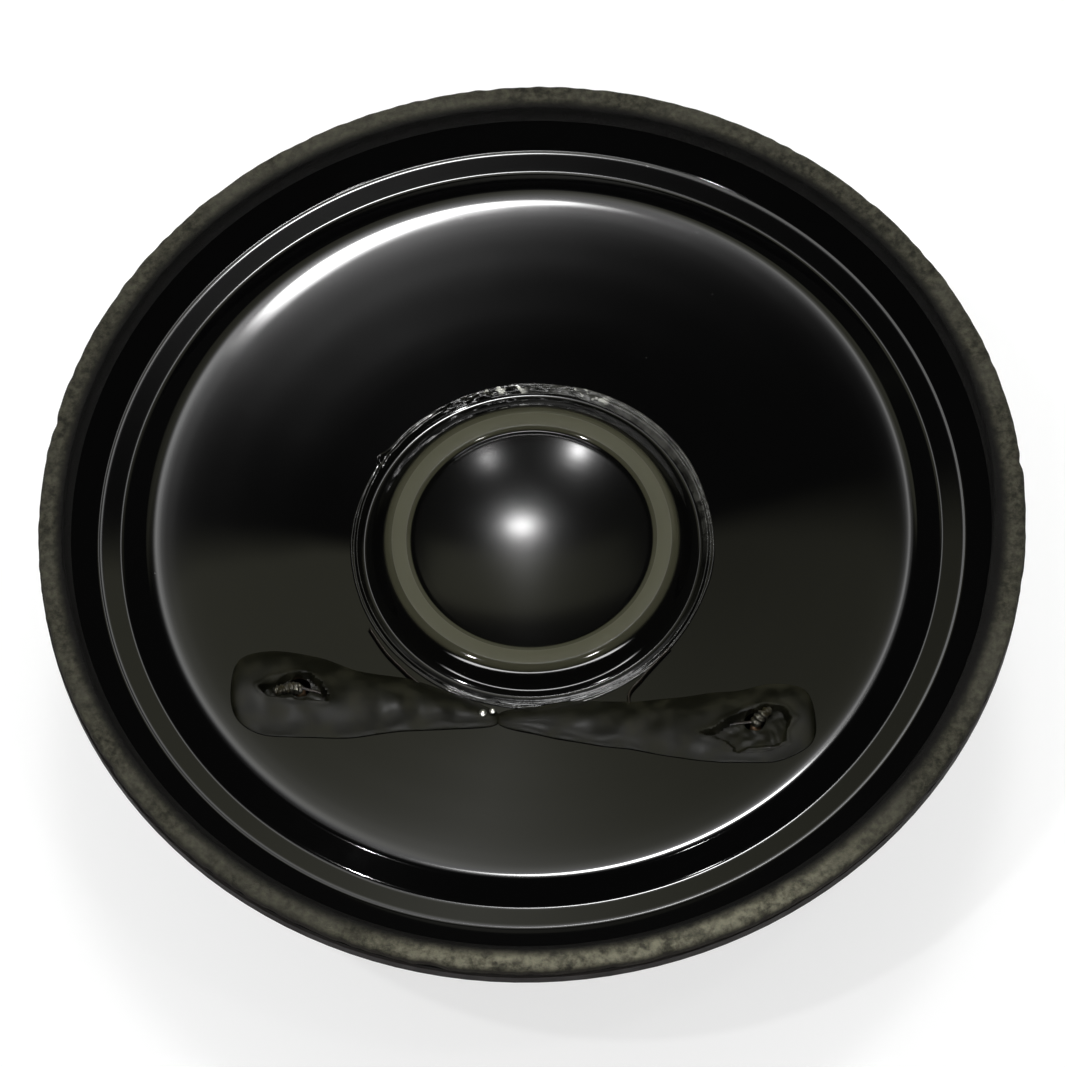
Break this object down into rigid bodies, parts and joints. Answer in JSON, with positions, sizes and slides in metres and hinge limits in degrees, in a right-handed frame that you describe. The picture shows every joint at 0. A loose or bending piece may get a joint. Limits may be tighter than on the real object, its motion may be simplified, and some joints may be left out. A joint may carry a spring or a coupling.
{
  "type": "miniature loudspeaker",
  "caption": "Round miniature moving-coil loudspeaker with a glossy black film cone, dished centre cap, paper gasket and a ferrite magnet behind a vented steel basket.",
  "frame": {"origin": "centre of the back plate's back face, at the bottom of the part's box", "axes": "+Z along the speaker's axis, out of the cone; the terminal strip lies towards -Y"},
  "size_m": [0.05, 0.05, 0.0157],
  "materials": {
    "rim_steel": "black electrophoretic paint on pressed steel, satin",
    "gasket_board": "rough grey-olive fibre board, dusty, with a ragged punched edge",
    "film": "black pressed polyester film, glossy; satin on the cap's ridge",
    "plated_steel": "zinc-plated mild steel, dull",
    "turned_steel": "turned and plated steel",
    "ferrite": "sintered ferrite, dark grey, matt and faintly speckled",
    "adhesive": "cured solvent adhesive, dark, glossy where it pooled",
    "phenolic": "brown phenolic paper board",
    "eyelet_brass": "tarnished brass",
    "tinned_brass": "tinned brass, dull silver",
    "solder": "tin solder, semi-bright with flux stains",
    "tinsel": "braided copper tinsel",
    "former_paper": "brown kraft paper tube",
    "copper_wire": "enamelled copper, brown-red"
  },
  "bodies": {
    "root": {"frame": "rim_steel", "gasket": "gasket_board", "surround": "film", "top_plate": "plated_steel", "magnet": "ferrite", "back_plate": "plated_steel", "pole_piece": "turned_steel", "magnet_glue": "adhesive", "terminal_board": "phenolic", "board_rivet": "eyelet_brass", "terminal_lug_left": "tinned_brass", "terminal_lug_right": "tinned_brass", "terminal_rivets": "eyelet_brass", "terminal_solder": "solder", "tinsel_lead_left": "tinsel", "tinsel_lead_right": "tinsel"},
    "cone_body": {"cone": "film", "centre_cap": "film", "cap_glue": "adhesive", "coil_former": "former_paper", "voice_coil": "copper_wire", "former_glue": "adhesive", "coil_wire_left": "copper_wire", "coil_wire_right": "copper_wire", "lead_glue_left": "adhesive", "lead_glue_right": "adhesive", "lead_knots": "solder"}
  },
  "joints": [
    {"name": "cone_travel", "type": "slide", "parent": "root", "child": "cone_body", "axis": [0, 0, 1], "range_m": [-0.001, 0.001], "stiffness_N_per_m": 1500, "deforming": ["surround", "tinsel_lead_left", "tinsel_lead_right"]}
  ]
}
